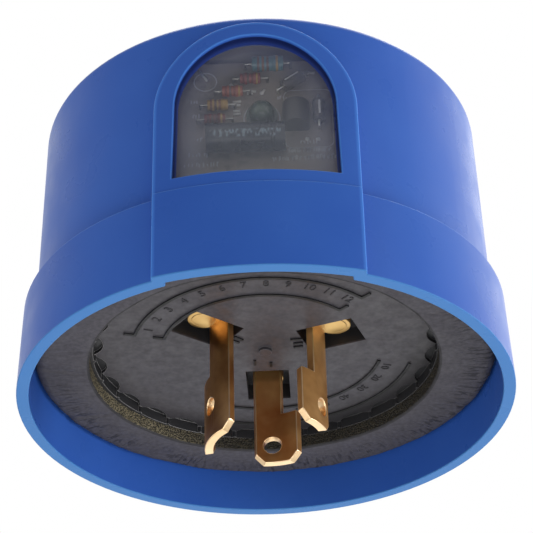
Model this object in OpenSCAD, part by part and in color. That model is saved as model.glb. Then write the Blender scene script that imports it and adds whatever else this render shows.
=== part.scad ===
// Plug-in photocell switch with a skirted cover, an arched window and three twist-lock blades.
// Millimetres, +Z up. The origin is on the axis, in the plane of the gasket's sealing face.
// The window faces -Y and the blades point down.

/* [Cover] */
// Diameter of the skirt at its rim
skirt_d = 84; // [80:0.5:90]
// How much the skirt's radius closes in from the rim to the ledge
skirt_draft = 0.6; // [0.2:0.1:1]
// How far the skirt hangs below the gasket's face
skirt_drop = 6.9; // [5:0.1:9]
// Width of the ledge between the skirt and the body
ledge_w = 2; // [1.5:0.1:2.6]
// How much the body's radius closes in from the ledge to the top
body_draft = 0.7; // [0.3:0.1:1.2]
// Height of the cover above the ledge
body_h = 36.8; // [34:0.1:44]
// Wall of the cover
wall = 2.1; // [1.6:0.1:2.6]
// Rounding of the cover's top edge
top_edge_r = 1.6; // [0.6:0.1:2.4]

/* [Front panel and window] */
// Width of the raised front panel
bay_w = 33; // [31:0.2:35]
// How far the middle of the panel stands out past the skirt's rim
bay_proud = 0.4; // [0.2:0.1:1.5]
// Radius of the panel's curved front
bay_front_r = 52; // [48:1:75]
// Step in the panel's front at the height of the ledge
bay_step = 0.2; // [0.1:0.05:0.4]
// Lean of the panel above the ledge, in degrees
bay_lean = 3.2; // [1:0.1:4]
// Height of the panel's arch springing above the gasket's face
bay_spring = 26.2; // [24:0.2:27]
// Width of the window opening
win_w = 28.2; // [24:0.2:28.4]
// Height of the window's sill above the gasket's face
win_sill = 11.3; // [10:0.1:14]
// Height of the window's arch springing above the gasket's face
win_spring = 26.5; // [22:0.1:27]
// Narrowing of the window opening for each millimetre of depth
win_taper = 0.32; // [0.1:0.02:0.4]
// Thickness of the clear pane
pane_t = 1.6; // [1.2:0.1:2]
// Clearance round the pane
pane_gap = 0.12; // [0.08:0.02:0.2]

/* [Gasket] */
// Width of the foam ring
gasket_w = 9.8; // [8:0.1:12]
// Thickness of the foam
gasket_t = 2.4; // [2:0.1:4]
// Rounding of the foam's outer lower edge
gasket_edge_r = 1.8; // [0.8:0.1:2.6]
// How far the foam's inner edge lies outside the recess
gasket_gap = 0.15; // [0.1:0.05:0.4]

/* [Base] */
// Clearance between the base's flange and the skirt
fit_gap = 0.15; // [0.1:0.05:0.4]
// Depth of the recess inside the foam, from the flange's face to its floor
recess_depth = 1.9; // [1.2:0.1:3]
// Thickness of the floor
flange_t = 2.5; // [2:0.1:3.5]
// How far the disc stands down from the recess's floor
disc_proud = 0.65; // [0.4:0.05:1.2]
// Number of scallops round the disc's edge
scallop_count = 28; // [20:1:30]
// Radius of one scallop
scallop_r = 3.8; // [3.4:0.1:5]
// Depth of a scallop
scallop_depth = 1.7; // [0.8:0.1:2]
// Radius of the rib that rises from each scallop's point
rib_r = 0.35; // [0.2:0.05:0.6]
// Diameter of the hub on the inner side
hub_d = 42; // [38:0.5:50]
// Web of the hub above the pockets
web_t = 2.2; // [1.6:0.1:3]
// Directions of the neutral, line and load pockets, in degrees
slot_dirs = [217, 89, 340]; // [0:1:359]
// Width of a blade pocket
slot_w = 7.5; // [6.6:0.1:8]
// Radius at which a pocket starts
slot_in_r = 7.1; // [6.4:0.1:7.6]
// Radius at which a pocket ends
slot_out_r = 17; // [16:0.1:18]

/* [Dial marks on the base] */
// Width of a raised line
line_w = 0.55; // [0.4:0.05:0.8]
// Height of a raised line
line_h = 0.3; // [0.2:0.05:0.5]
// How far the front dial's lines lie inside the disc's edge
front_dial_in = [6.65, 11.75]; // [6:0.05:13]
// How far the rear dial's lines lie inside the disc's edge
rear_dial_in = [3.8, 9.3]; // [3:0.05:11]
// Length of the ticks that close the front dial
dial_tick = 2.2; // [1.2:0.1:3]
// Start and end of the front dial, in degrees
front_dial_span = [196.5, 316]; // [190:0.5:340]
// Start and end of the rear dial, in degrees
rear_dial_span = [13, 110]; // [5:0.5:120]
// Diameter of the nub on the axis
nub_d = 2.3; // [1.6:0.1:3]

/* [Blades] */
// Turn of the neutral, line and load blades in their pockets, in degrees
blade_turns = [4, 0, -4]; // [-5:0.5:5]
// Radius of the blades' inner face
blade_in_r = 9; // [8.4:0.05:9.6]
// Thickness of the brass
blade_t = 1.45; // [1.2:0.05:1.6]
// Width of a blade's upright strip
strip_w = 4.9; // [4.4:0.1:5.2]
// How far the hooks of the neutral, line and load blades stand out beside the strip
hook_ws = [6.8, 3.05, 2.7]; // [2:0.05:7]
// Depth of each hook's shoulder below the gasket's face
shoulder_drops = [4, 4, 4.7]; // [3:0.1:6]
// Depth of each blade's tip below the gasket's face
blade_drops = [15.8, 13.4, 14.2]; // [12.6:0.1:17]
// Chamfer of the tip's corners
tip_chamfer = 1.5; // [0.6:0.1:2]
// Diameter of the hole in a blade
blade_hole_d = 3.1; // [2.4:0.1:3.4]
// Depth of each hole's middle below the gasket's face
blade_hole_drops = [9.8, 10.1, 10.5]; // [8.5:0.1:11]
// How far that hole lies towards the hook on the neutral, line and load blades
blade_hole_shifts = [2.5, 0.6, 0.2]; // [0:0.1:2.6]
// Diameter of the round end of a blade's foot
foot_w = 5.4; // [5:0.1:6]
// Width of the foot's neck beside the strip
neck_w = 3; // [2.4:0.1:4.4]
// Depth of the foot's face inside the pocket
foot_depth = 1.65; // [1.4:0.05:2.6]
// Radius of the foot's rivet from the axis
rivet_r = 12.8; // [12.4:0.1:13.4]
// Diameter of a rivet's shank
rivet_d = 2.4; // [2:0.1:3]
// Diameter of a rivet's inner head
rivet_head_d = 4.6; // [4:0.1:5.4]
// Height of a rivet's inner head
rivet_head_h = 0.9; // [0.6:0.1:1.4]
// Depth of a rivet's flush head
sink_h = 0.7; // [0.4:0.1:0.9]
// Clearance round a rivet
rivet_gap = 0.08; // [0.05:0.01:0.2]

/* [Circuit board] */
// Width of the board
board_w = 34; // [33:0.2:35]
// Thickness of the board
board_t = 1.6; // [1:0.1:2]
// Room for parts between the board and the pane
board_room = 8.2; // [8:0.05:9]
// Gap between the board's top edge and the cover
board_top_gap = 1.4; // [0.4:0.1:2]
// Height of the guide posts that hold the board's edges
guide_h = 11; // [8:0.5:16]
// Depth of the groove in a guide post
guide_groove = 1; // [0.6:0.1:1.2]
// Wall of a guide post round its groove
guide_wall = 1.2; // [1:0.1:1.5]
// Clearance round the board in its grooves
board_gap = 0.1; // [0.05:0.05:0.2]

/* [Parts on the front of the board; each place is sideways, and down from the board's top edge] */
// Diameter and length of the smoothing capacitor
smooth_size = [4.9, 13]; // [4:0.1:15]
// Radius of the smoothing capacitor's groove and its place from the end
smooth_groove = [0.35, 2]; // [0.2:0.05:3]
// Width of the seat under the smoothing capacitor
smooth_seat_w = 2; // [1:0.1:3]
// Place of the smoothing capacitor
smooth_at = [-1.8, 17.6]; // [-5:0.1:19]
// Diameter and height of the light sensor
sensor_size = [4.4, 3.6]; // [3:0.1:5]
// Width and height of the light sensor's rim
sensor_rim = [0.4, 1]; // [0.3:0.1:1.4]
// Place of the light sensor
sensor_at = [0.9, 12]; // [-1:0.1:13]
// Diameter and length of a small resistor's body
resistor_size = [1.8, 3.4]; // [1.4:0.1:4]
// Place of the sensor's resistor
sensor_resistor_at = [-0.9, 4.2]; // [-2:0.1:5]
// Place of the bias resistor
bias_resistor_at = [-3.9, 6.8]; // [-5:0.1:8]
// Place of the gate resistor
gate_resistor_at = [-6.4, 9.6]; // [-9:0.1:10]
// Place of the bleed resistor
bleed_resistor_at = [-6.9, 12.6]; // [-9:0.1:13]
// Diameter and length of the large resistor's body
snubber_size = [2.5, 5.2]; // [2:0.1:6]
// Place of the large resistor
snubber_at = [2.1, 1.4]; // [-1:0.1:3]
// Rise of a resistor's rounded ends above its body
resistor_bulge = 0.12; // [0.05:0.01:0.2]
// Diameter and length of a diode's body
diode_size = [2.2, 3.8]; // [1.8:0.1:4.4]
// Place of the upper diode
upper_diode_at = [6.2, 5.1]; // [5:0.1:7]
// Turn of the upper diode, in degrees
upper_diode_turn = 36; // [0:1:45]
// Place of the lower diode, which stands upright
lower_diode_at = [10.4, 11.5]; // [9:0.1:13]
// How far an axial part's leads reach past its body
lead_reach = 1.2; // [0.8:0.1:2]
// Diameter of a part's lead
lead_d = 0.5; // [0.4:0.05:0.7]
// Width, depth and height of the transistor
transistor_size = [4.5, 3.5, 4.5]; // [3:0.1:5]
// Place of the transistor's upper end
transistor_at = [6.6, 10.3]; // [5:0.1:14]
// Pitch of the transistor's leads
transistor_pitch = 1.27; // [1:0.01:1.5]

/* [Parts on the back of the board; each place is sideways, and down from the board's top edge] */
// Width, depth and height of the relay
relay_size = [15.5, 15.3, 19]; // [12:0.1:20]
// Place of the relay's middle
relay_at = [-7.8, 13.7]; // [-9:0.1:15]
// Width, depth and height of the box capacitor
dropper_size = [13, 7, 12]; // [6:0.1:14]
// Place of the box capacitor's middle
dropper_at = [9, 10.2]; // [8:0.1:12]
// Diameter and thickness of the varistor
varistor_size = [10, 4.4]; // [4:0.1:11]
// Place of the varistor's middle
varistor_at = [8, 23.2]; // [6:0.1:24]
// Length and pitch of the varistor's legs
varistor_legs = [2, 5]; // [1:0.1:6]
// Diameter of an insulated wire
wire_d = 2; // [1.6:0.1:2.4]
// Places of the neutral, line and load wires on the board: sideways, and up from the base
wire_ends = [[-10, 6.7], [1.5, 7.2], [14, 6.7]]; // [-12:0.1:15]
// How far the neutral, line and load wires run straight up from their rivets
wire_rises = [4, 8, 4]; // [3:0.5:10]
// How far the neutral, line and load wires run straight back from the board
wire_runs = [8, 24, 10]; // [6:0.5:26]

/* [Hidden] */
$fn = 96;

// Overshoot of a cutting shape past the face it cuts
eps = 0.5;
// Reach of a cutting shape that spans the whole part
far = 200;

// Heights, from the gasket's face
rim_z = -skirt_drop;
flange_z = gasket_t;
floor_z = flange_z + recess_depth;
disc_z = floor_z - disc_proud;
flange_top = floor_z + flange_t;
ledge_z = flange_top + wall;
top_z = ledge_z + body_h;
foot_z = disc_z + foot_depth;
pocket_z = foot_z + blade_t;
hub_top = pocket_z + web_t;

// Blades: middle radius, and the angle that a length along it takes
blade_mid_r = blade_in_r + blade_t / 2;
function blade_angle(length) = length / blade_mid_r * 180 / PI;
function wedge_point(dir) = 4 * blade_mid_r * [cos(dir), sin(dir)];

// Radii of the cover, outside and inside
skirt_r = skirt_d / 2;
skirt_top_r = skirt_r - skirt_draft;
body_r = skirt_top_r - ledge_w;
body_top_r = body_r - body_draft;
function skirt_in(z) = skirt_r - wall - skirt_draft * (z - rim_z) / (ledge_z - rim_z);
function body_in(z) = body_r - wall - body_draft * (z - ledge_z) / body_h;
base_r = skirt_in(flange_top) - fit_gap;
gasket_out_r = skirt_in(flange_z) - fit_gap;
gasket_in_r = gasket_out_r - gasket_w;
disc_r = gasket_in_r - gasket_gap;

// Front panel: place of its middle, and how far the pane's inner face lies behind it
bay_front = skirt_r + bay_proud;
pane_inset = wall + pane_gap;
pane_back = pane_inset + pane_t;

// Circuit board planes and edges
board_front_y = pane_back + board_room - bay_front;
board_back_y = board_front_y + board_t;
board_top = top_z - wall - board_top_gap;
// Depth to which the panel's cavity and the window opening are cut
bay_depth = board_back_y + bay_front;
// Points and sides of a wire's sweep
wire_steps = 14;
wire_sides = 8;

// Colours
blue = [0.16, 0.32, 0.68];
black = [0.13, 0.13, 0.14];
foam_grey = [0.3, 0.29, 0.31];
brass = [0.85, 0.66, 0.33];

// Points of a quarter round in the XZ half-plane, from the outside of the edge to its end
function quarter(cx, cz, r, from, to, steps = 6) =
  [for (i = [0:steps]) let (a = from + (to - from) * i / steps) [cx + r * cos(a), cz + r * sin(a)]];

module cover_form() {
  rotate_extrude()
    polygon(concat(
      [[0, rim_z], [skirt_r, rim_z], [skirt_top_r, ledge_z], [body_r, ledge_z]],
      quarter(body_top_r - top_edge_r, top_z - top_edge_r, top_edge_r, 0, 90),
      [[0, top_z]]
    ));
}

module cover_hollow() {
  rotate_extrude()
    polygon([
      [0, rim_z - eps], [skirt_in(rim_z - eps), rim_z - eps],
      [skirt_in(flange_top), flange_top], [body_in(flange_top), flange_top],
      [body_in(top_z - wall), top_z - wall], [0, top_z - wall]
    ]);
}

// Upright arch shape, half_w to each side of the middle, from z0 up, running back from the front
module arch_prism(half_w, z0, spring) {
  translate([-half_w, -far / 2, z0])
    cube([2 * half_w, far / 2 - bay_front + bay_depth, spring - z0]);
  translate([0, -far / 2, spring])
    rotate([-90, 0, 0])
      cylinder(r = half_w, h = far / 2 - bay_front + bay_depth);
}

// Everything behind the panel's front when that front is moved in by inset
module behind_front(inset) {
  translate([0, bay_front_r - bay_front, rim_z - 2 * eps])
    cylinder(r = bay_front_r - inset, h = ledge_z - rim_z + 2 * eps);
  intersection() {
    translate([0, bay_front_r / cos(bay_lean) - bay_front, ledge_z])
      rotate([-bay_lean, 0, 0])
        translate([0, 0, -far / 4])
          cylinder(r = bay_front_r - bay_step - inset, h = far);
    translate([-far / 2, -far / 2, ledge_z])
      cube(far);
  }
}

module window_cut() {
  wide = win_w / 2 + win_taper * eps;
  narrow = win_w / 2 - win_taper * bay_depth;
  front = -bay_front - eps;
  back = bay_depth - bay_front;
  intersection() {
    translate([0, front, win_spring])
      rotate([-90, 0, 0])
        cylinder(r1 = wide, r2 = narrow, h = bay_depth + eps);
    translate([-far / 2, -far / 2, win_spring])
      cube(far);
  }
  translate([0, 0, win_sill])
    linear_extrude(win_spring - win_sill)
      polygon([[-wide, front], [wide, front], [narrow, back], [-narrow, back]]);
}

module cover() {
  color(blue)
    difference() {
      union() {
        cover_form();
        intersection() {
          arch_prism(bay_w / 2, rim_z, bay_spring);
          behind_front(0);
        }
      }
      cover_hollow();
      intersection() {
        arch_prism(bay_w / 2 - wall, rim_z - eps, bay_spring);
        behind_front(wall);
      }
      window_cut();
    }
}

module window() {
  color([0.8, 0.85, 0.9, 0.35])
    difference() {
      intersection() {
        arch_prism(bay_w / 2 - wall - pane_gap, flange_top, bay_spring);
        behind_front(pane_inset);
      }
      behind_front(pane_back);
    }
}

// Disc on the recess's floor, whose points run into the recess's wall
module scalloped_disc() {
  difference() {
    translate([0, 0, disc_z])
      cylinder(r = disc_r + eps, h = disc_proud);
    for (i = [0:scallop_count - 1])
      rotate([0, 0, 360 * (i + 0.5) / scallop_count])
        translate([disc_r - scallop_depth + scallop_r, 0, disc_z - eps])
          cylinder(r = scallop_r, h = disc_proud + eps);
  }
}

// Flange under the foam: the wall of the recess, with a rib at each point of the disc
module recess_wall() {
  translate([0, 0, flange_z]) {
    difference() {
      cylinder(r = base_r, h = recess_depth + eps);
      translate([0, 0, -eps])
        cylinder(r = disc_r, h = recess_depth + 3 * eps);
    }
    for (i = [0:scallop_count - 1])
      rotate([0, 0, 360 * i / scallop_count])
        translate([disc_r, 0, 0])
          cylinder(r = rib_r, h = recess_depth + eps, $fn = 24);
  }
}

// Raised line along an arc of the base's face
module dial_line(r, from, to) {
  rotate([0, 0, from])
    rotate_extrude(angle = to - from)
      translate([r - line_w / 2, disc_z - line_h])
        square([line_w, line_h]);
}

// Raised tick that runs outwards from radius r in direction dir
module dial_tick_line(r, dir) {
  rotate([0, 0, dir])
    translate([r, -line_w / 2, disc_z - line_h])
      cube([dial_tick, line_w, line_h]);
}

module dial_marks() {
  for (inset = front_dial_in) {
    dial_line(disc_r - inset, front_dial_span[0], front_dial_span[1]);
    for (dir = front_dial_span)
      dial_tick_line(disc_r - inset - line_w / 2, dir);
  }
  for (inset = rear_dial_in)
    dial_line(disc_r - inset, rear_dial_span[0], rear_dial_span[1]);
}

// Post beside the board, with a groove for its edge
module board_guide() {
  inner_x = board_w / 2 - guide_groove;
  outer_x = board_w / 2 + board_gap + guide_wall;
  translate([inner_x, board_front_y - guide_wall - board_gap, flange_top - eps])
    difference() {
      cube([outer_x - inner_x, board_t + 2 * (guide_wall + board_gap), guide_h + eps]);
      translate([-eps, guide_wall, eps])
        cube([guide_groove + board_gap + eps, board_t + 2 * board_gap, guide_h + eps]);
    }
}

module base() {
  color(black)
    difference() {
      union() {
        translate([0, 0, floor_z])
          cylinder(r = base_r, h = flange_t);
        recess_wall();
        intersection() {
          arch_prism(bay_w / 2 - wall - fit_gap, floor_z, flange_top);
          behind_front(wall + fit_gap);
          translate([-far / 2, -far / 2, floor_z])
            cube([far, far, flange_t]);
        }
        translate([0, 0, flange_top - eps])
          cylinder(d = hub_d, h = hub_top - flange_top + eps);
        scalloped_disc();
        dial_marks();
        translate([0, 0, disc_z - 2 * line_h])
          cylinder(d = nub_d, h = 2 * line_h + eps);
        for (side = [0, 1])
          mirror([side, 0, 0])
            board_guide();
      }
      for (dir = slot_dirs)
        rotate([0, 0, dir]) {
          translate([slot_in_r, -slot_w / 2, disc_z - line_h - eps])
            cube([slot_out_r - slot_in_r, slot_w, pocket_z - disc_z + line_h + eps]);
          translate([rivet_r, 0, pocket_z - eps])
            cylinder(d = rivet_d + 2 * rivet_gap, h = web_t + 2 * eps);
        }
    }
}

module gasket() {
  color(foam_grey)
    rotate_extrude()
      polygon(concat(
        [[gasket_in_r, 0]],
        quarter(gasket_out_r - gasket_edge_r, gasket_edge_r, gasket_edge_r, -90, 0),
        [[gasket_out_r, flange_z], [gasket_in_r, flange_z]]
      ));
}

// Flush head of a rivet, or its seat when grown by gap
module rivet_sink(gap) {
  translate([rivet_r, 0, foot_z - gap])
    cylinder(d1 = rivet_d + 2 * (sink_h + 2 * gap), d2 = rivet_d + 2 * gap, h = sink_h + gap);
}

// Upright wedge between two directions, from z0 to z1, that reaches past the blades
module wedge(from, to, z0, z1) {
  translate([0, 0, z0])
    linear_extrude(z1 - z0)
      polygon([[0, 0], wedge_point(from), wedge_point((from + to) / 2), wedge_point(to)]);
}

// Tube that the blades are cut from, from z0 up to the pockets' ceiling
module brass_tube(z0) {
  translate([0, 0, z0])
    difference() {
      cylinder(r = blade_in_r + blade_t, h = pocket_z - z0);
      translate([0, 0, -eps])
        cylinder(r = blade_in_r, h = pocket_z - z0 + 2 * eps);
    }
}

// Cut that chamfers a tip's corner in direction dir, on the side 1 or -1 of the blade
module tip_cut(dir, tip, side) {
  deep = 4 * tip_chamfer;
  rotate([0, 0, dir])
    translate([blade_mid_r, 0, tip])
      rotate([45 * side, 0, 0])
        translate([-blade_t, -deep / 2, -deep])
          cube([2 * blade_t, deep, deep + tip_chamfer / sqrt(2)]);
}

// Foot of a blade in its pocket: a neck, and a round end about the rivet
module blade_foot() {
  translate([blade_mid_r, -neck_w / 2, foot_z])
    cube([rivet_r - blade_mid_r, neck_w, blade_t]);
  translate([rivet_r, 0, foot_z])
    cylinder(d = foot_w, h = blade_t);
}

// Blade number i, with its own hook and tip
module blade(i) {
  dir = slot_dirs[i] + blade_turns[i];
  half = blade_angle(strip_w / 2);
  hook_end = half + blade_angle(hook_ws[i]);
  tip = -blade_drops[i];
  color(brass)
    difference() {
      union() {
        difference() {
          intersection() {
            brass_tube(tip);
            wedge(dir - hook_end, dir + half, tip - eps, pocket_z + eps);
          }
          wedge(dir - 2 * hook_end, dir - half, -shoulder_drops[i], pocket_z + eps);
          tip_cut(dir + half, tip, 1);
          tip_cut(dir - hook_end, tip, -1);
          rotate([0, 0, dir - blade_angle(blade_hole_shifts[i])])
            translate([blade_in_r - eps, 0, -blade_hole_drops[i]])
              rotate([0, 90, 0])
                cylinder(d = blade_hole_d, h = blade_t + 2 * eps);
        }
        rotate([0, 0, slot_dirs[i]])
          blade_foot();
      }
      rotate([0, 0, slot_dirs[i]]) {
        rivet_sink(rivet_gap);
        translate([rivet_r, 0, foot_z - eps])
          cylinder(d = rivet_d + 2 * rivet_gap, h = blade_t + 2 * eps);
      }
    }
}

module neutral_blade() {
  blade(0);
}

module line_blade() {
  blade(1);
}

module load_blade() {
  blade(2);
}

module blade_rivets() {
  color([0.78, 0.62, 0.36])
    for (dir = slot_dirs)
      rotate([0, 0, dir]) {
        rivet_sink(0);
        translate([rivet_r, 0, foot_z])
          cylinder(d = rivet_d, h = hub_top - foot_z + eps);
        translate([rivet_r, 0, hub_top])
          cylinder(d1 = rivet_head_d, d2 = rivet_head_d - rivet_head_h, h = rivet_head_h);
      }
}

module circuit_board() {
  color([0.32, 0.3, 0.26])
    translate([-board_w / 2, board_front_y, flange_top])
      cube([board_w, board_t, board_top - flange_top]);
}

// Places its children on the front of the board: X to the side, Y up, Z out of the board
module on_front(at, turn = 0) {
  translate([at[0], board_front_y, board_top - at[1]])
    rotate([90, 0, 0])
      rotate([0, 0, turn])
        children();
}

// Axial part on the board: body along X, with a lead at each end bent down to the board
module axial_part(size, lead, end_bulge) {
  axis_h = size[0] / 2 + end_bulge;
  reach = size[1] / 2 + lead_reach;
  translate([-size[1] / 2, 0, axis_h])
    rotate([0, 90, 0])
      cylinder(d = size[0], h = size[1]);
  for (side = [-1, 1]) {
    if (end_bulge > 0)
      translate([side * (size[1] / 2 - size[0] / 2), 0, axis_h])
        sphere(d = size[0] + 2 * end_bulge);
    translate([min(0, side * reach), 0, axis_h])
      rotate([0, 90, 0])
        cylinder(d = lead, h = reach);
    translate([side * reach, 0, axis_h])
      sphere(d = lead);
    translate([side * reach, 0, 0])
      cylinder(d = lead, h = axis_h);
  }
}

module small_resistor(tint, at, turn = 0) {
  color(tint)
    on_front(at, turn)
      axial_part(resistor_size, lead_d, resistor_bulge);
}

module sensor_resistor() {
  small_resistor([0.62, 0.16, 0.13], sensor_resistor_at);
}

module bias_resistor() {
  small_resistor([0.75, 0.3, 0.12], bias_resistor_at);
}

module gate_resistor() {
  small_resistor([0.72, 0.55, 0.2], gate_resistor_at);
}

module bleed_resistor() {
  small_resistor([0.45, 0.22, 0.14], bleed_resistor_at);
}

module snubber_resistor() {
  color([0.2, 0.46, 0.48])
    on_front(snubber_at)
      axial_part(snubber_size, lead_d, resistor_bulge);
}

module rectifier_diodes() {
  color([0.14, 0.14, 0.15]) {
    on_front(upper_diode_at, upper_diode_turn)
      axial_part(diode_size, lead_d, 0);
    on_front(lower_diode_at, 90)
      axial_part(diode_size, lead_d, 0);
  }
}

module switching_transistor() {
  w = transistor_size[0];
  d = transistor_size[1];
  h = transistor_size[2];
  color([0.15, 0.15, 0.16])
    on_front(transistor_at) {
      intersection() {
        translate([0, 0, d - w / 2])
          rotate([90, 0, 0])
            cylinder(d = w, h = h);
        translate([-w / 2, -h, 0])
          cube([w, h, d]);
      }
      for (i = [-1:1]) {
        translate([i * transistor_pitch, 0, d / 3])
          rotate([-90, 0, 0])
            cylinder(d = lead_d, h = transistor_pitch);
        translate([i * transistor_pitch, transistor_pitch, d / 3])
          sphere(d = lead_d);
        translate([i * transistor_pitch, transistor_pitch, 0])
          cylinder(d = lead_d, h = d / 3);
      }
    }
}

// Body of the light sensor, with a domed lens towards the window
module photo_sensor() {
  r = sensor_size[0] / 2;
  color([0.25, 0.42, 0.3])
    on_front(sensor_at) {
      cylinder(r = r + sensor_rim[0], h = sensor_rim[1]);
      cylinder(r = r, h = sensor_size[1] - r);
      intersection() {
        translate([0, 0, sensor_size[1] - r])
          sphere(r = r);
        cylinder(r = 2 * r, h = sensor_size[1] + eps);
      }
    }
}

module smoothing_capacitor() {
  d = smooth_size[0];
  color([0.12, 0.12, 0.14])
    on_front(smooth_at) {
      difference() {
        translate([-smooth_size[1] / 2, 0, d / 2])
          rotate([0, 90, 0])
            cylinder(d = d, h = smooth_size[1]);
        translate([smooth_size[1] / 2 - smooth_groove[1], 0, d / 2])
          rotate([0, 90, 0])
            rotate_extrude()
              translate([d / 2 + smooth_groove[0] / 2, 0])
                circle(smooth_groove[0], $fn = 24);
      }
      translate([-smooth_size[1] / 4, -smooth_seat_w / 2, 0])
        cube([smooth_size[1] / 2, smooth_seat_w, d / 2]);
    }
}

// Places its children on the back of the board: X to the side, Y up, Z away from the board
module on_back(at) {
  translate([at[0], board_back_y, board_top - at[1]])
    rotate([-90, 0, 0])
      mirror([0, 1, 0])
        children();
}

module relay() {
  color([0.2, 0.2, 0.22])
    on_back(relay_at)
      translate([-relay_size[0] / 2, -relay_size[2] / 2, 0])
        cube([relay_size[0], relay_size[2], relay_size[1]]);
}

module dropper_capacitor() {
  color([0.75, 0.6, 0.2])
    on_back(dropper_at)
      translate([-dropper_size[0] / 2, -dropper_size[2] / 2, 0])
        cube([dropper_size[0], dropper_size[2], dropper_size[1]]);
}

module surge_varistor() {
  r = varistor_size[0] / 2;
  color([0.2, 0.3, 0.55])
    on_back(varistor_at) {
      translate([-varistor_size[1] / 2, 0, varistor_legs[0] + r])
        rotate([0, 90, 0])
          cylinder(r = r, h = varistor_size[1]);
      for (side = [-1, 1])
        translate([0, side * varistor_legs[1] / 2, 0])
          cylinder(d = lead_d, h = varistor_legs[0] + r);
    }
}

// Points and directions along a smooth wire, from its rivet up and back to the board
function bezier(p, t) =
  pow(1 - t, 3) * p[0] + 3 * t * pow(1 - t, 2) * p[1] + 3 * t * t * (1 - t) * p[2] + pow(t, 3) * p[3];
function bezier_dir(p, t) =
  pow(1 - t, 2) * (p[1] - p[0]) + 2 * t * (1 - t) * (p[2] - p[1]) + t * t * (p[3] - p[2]);

// Wire of blade number i
module wire(i, tint) {
  dir = slot_dirs[i];
  start = [rivet_r * cos(dir), rivet_r * sin(dir), hub_top + rivet_head_h];
  end = [wire_ends[i][0], board_back_y, flange_top + wire_ends[i][1]];
  p = [start, start + [0, 0, wire_rises[i]], end + [0, wire_runs[i], 0], end];
  across = [1, 0, 0];
  points = [
    for (n = [0:wire_steps])
      let (
        along = bezier_dir(p, n / wire_steps),
        v = cross(along, across) / norm(cross(along, across)),
        u = cross(v, along) / norm(along)
      )
      for (k = [0:wire_sides - 1])
        bezier(p, n / wire_steps)
          + wire_d / 2 * (cos(360 * k / wire_sides) * u + sin(360 * k / wire_sides) * v)
  ];
  ends = [[for (k = [0:wire_sides - 1]) k],
    [for (k = [wire_sides - 1:-1:0]) wire_steps * wire_sides + k]];
  sides = [
    for (n = [0:wire_steps - 1], k = [0:wire_sides - 1])
      let (a = n * wire_sides + k, b = n * wire_sides + (k + 1) % wire_sides)
        [a, a + wire_sides, b + wire_sides, b]
  ];
  color(tint)
    polyhedron(points, concat(ends, sides));
}

module line_wire() {
  wire(1, [0.1, 0.1, 0.1]);
}

module load_wire() {
  wire(2, [0.6, 0.12, 0.1]);
}

module neutral_wire() {
  wire(0, [0.85, 0.85, 0.82]);
}

cover();
window();
base();
gasket();
neutral_blade();
line_blade();
load_blade();
blade_rivets();
circuit_board();
photo_sensor();
smoothing_capacitor();
sensor_resistor();
bias_resistor();
gate_resistor();
bleed_resistor();
snubber_resistor();
rectifier_diodes();
switching_transistor();
relay();
dropper_capacitor();
surge_varistor();
line_wire();
load_wire();
neutral_wire();
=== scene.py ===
"""Looks of a plug-in photocell switch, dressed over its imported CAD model."""

import math
import random

import bmesh
import bpy
from mathutils import Matrix, Vector, noise


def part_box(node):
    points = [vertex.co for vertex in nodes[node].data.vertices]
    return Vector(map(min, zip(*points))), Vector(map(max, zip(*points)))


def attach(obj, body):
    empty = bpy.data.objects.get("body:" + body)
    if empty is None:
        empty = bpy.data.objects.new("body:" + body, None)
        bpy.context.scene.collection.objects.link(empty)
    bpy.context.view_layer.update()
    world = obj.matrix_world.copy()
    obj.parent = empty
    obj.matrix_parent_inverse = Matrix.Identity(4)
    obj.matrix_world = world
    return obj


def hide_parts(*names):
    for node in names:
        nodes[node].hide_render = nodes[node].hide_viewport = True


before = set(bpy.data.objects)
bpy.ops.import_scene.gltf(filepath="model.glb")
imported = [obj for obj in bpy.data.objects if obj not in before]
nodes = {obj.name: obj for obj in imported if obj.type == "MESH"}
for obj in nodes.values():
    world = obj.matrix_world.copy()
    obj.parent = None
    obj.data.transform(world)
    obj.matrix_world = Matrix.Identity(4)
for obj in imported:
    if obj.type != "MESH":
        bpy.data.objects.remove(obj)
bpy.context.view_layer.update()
scene = bpy.context.scene
MM = 0.001

# Camera, fitted to the photograph: its place, the point it looks at, its tilt and its lens
CAMERA_AT = Vector((5.088, -291.513, -172.086)) * MM
CAMERA_AIM = Vector((0.579, 0, 20.794)) * MM
CAMERA_TILT = math.radians(-1.415)
CAMERA_LENS = 133.82
CAMERA_SENSOR = 36

# Studio: strength of the grey fill, and height and half the width of the floor in metres
WORLD_FILL = 0.4
FLOOR_Z = -0.6
FLOOR_HALF = 2.0

# Soft round lights: place and aim in metres, width in metres and power in watts
ORIGIN = (0, 0, 0)
BODY_MIDDLE = (0, 0, 0.02)
LIGHTS = {
    "soft_below": ((0.05, -0.25, -0.52), ORIGIN, 0.5, 1.7),
    "low_right": ((0.52, -0.06, -0.16), ORIGIN, 0.3, 2.1),
    "low_left": ((-0.45, 0, -0.2), ORIGIN, 0.3, 0.55),
    "low_back": ((0.05, 0.55, -0.33), ORIGIN, 0.5, 0.55),
    "key_right": ((0.6, -0.4, 0.3), BODY_MIDDLE, 0.5, 1.1),
    "sheen_right": ((0.42, 0.25, 0.36), BODY_MIDDLE, 0.7, 1.2),
    "fill_left": ((-0.6, -0.45, 0.1), BODY_MIDDLE, 0.5, 1.0),
    "top_fill": ((0.1, 0.1, 0.8), BODY_MIDDLE, 0.8, 4),
}

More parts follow.
